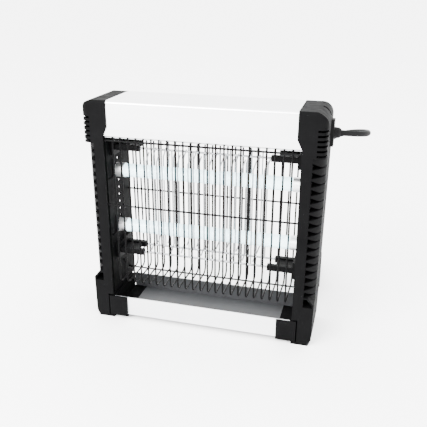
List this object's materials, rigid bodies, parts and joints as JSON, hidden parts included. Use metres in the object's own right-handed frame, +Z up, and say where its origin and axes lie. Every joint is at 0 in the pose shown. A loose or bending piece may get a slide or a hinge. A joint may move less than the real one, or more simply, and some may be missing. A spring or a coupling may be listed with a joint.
{
  "type": "electric bug zapper",
  "caption": "Portable electric insect killer: lamps between high-voltage wire grids, a black wire guard, moulded end frames, an aluminium top and a pull-out tray.",
  "frame": {"origin": "on the ground under the middle of the body, measured without the cord", "axes": "+X across the front to the cord's side, +Y to the back (the front with the tray's panel faces -Y), +Z up"},
  "size_m": [0.2997, 0.2159, 0.26],
  "materials": {
    "black_plastic": "fine moulded grain",
    "insulator_plastic": "smooth moulded",
    "holder_plastic": "smooth white",
    "satin_aluminium": "satin, lightly brushed",
    "tray_sheet": "mill finish, slightly dull",
    "white_sheet": "pale powder coat",
    "lamp_glass": "phosphor-coated tube, opaque",
    "lamp_cap_metal": "bright spun cap",
    "grid_wire": "bright plated wire",
    "guard_wire": "semi-gloss black coating",
    "core_steel": "varnished laminations",
    "winding_tape": "yellow winding tape",
    "starter_can": "white can",
    "terminal_plastic": "natural nylon",
    "screw_steel": "blackened steel",
    "cord_rubber": "soft matt sheath",
    "tie_strap": "hook-and-loop strap",
    "blade_brass": "nickel-tinted brass"
  },
  "bodies": {
    "housing": {"side_frame_left": "black_plastic", "side_frame_right": "black_plastic", "inner_panel_left": "black_plastic", "inner_panel_right": "black_plastic", "top_cover": "satin_aluminium", "chassis_plate": "white_sheet", "transformer_core": "core_steel", "transformer_coil": "winding_tape", "lamp_ballasts": "core_steel", "lamp_starters": "starter_can", "terminal_block": "terminal_plastic", "lamp_holder_upper_left": "holder_plastic", "lamp_holder_upper_right": "holder_plastic", "lamp_holder_lower_left": "holder_plastic", "lamp_holder_lower_right": "holder_plastic", "grid_front_live": "grid_wire", "grid_front_neutral": "grid_wire", "grid_rear_live": "grid_wire", "grid_rear_neutral": "grid_wire", "insulator_top_left": "insulator_plastic", "insulator_top_right": "insulator_plastic", "insulator_bottom_left": "insulator_plastic", "insulator_bottom_right": "insulator_plastic", "guard_front": "guard_wire", "guard_rear": "guard_wire", "guard_floor": "guard_wire", "frame_screws": "screw_steel", "strain_relief": "cord_rubber", "power_cord": "cord_rubber", "cord_hank": "cord_rubber", "cord_tie": "tie_strap", "plug_body": "cord_rubber", "plug_blades": "blade_brass"},
    "tray": {"tray_pan": "tray_sheet", "tray_front": "satin_aluminium", "tray_end_left": "black_plastic", "tray_end_right": "black_plastic"},
    "lamp_upper": {"lamp_tube_upper": "lamp_glass", "lamp_ends_upper": "lamp_cap_metal", "lamp_rotors_upper": "holder_plastic"},
    "lamp_lower": {"lamp_tube_lower": "lamp_glass", "lamp_ends_lower": "lamp_cap_metal", "lamp_rotors_lower": "holder_plastic"}
  },
  "joints": [
    {"name": "tray_slide", "type": "slide", "parent": "housing", "child": "tray", "axis": [0, -1, 0], "range_m": [0, 0.065]},
    {"name": "lamp_upper_twist", "type": "hinge", "parent": "housing", "child": "lamp_upper", "pos_m": [0, 0, 0.1757], "axis": [1, 0, 0], "range_deg": [0, 90]},
    {"name": "lamp_lower_twist", "type": "hinge", "parent": "housing", "child": "lamp_lower", "pos_m": [0, 0, 0.108], "axis": [1, 0, 0], "range_deg": [0, 90]}
  ]
}
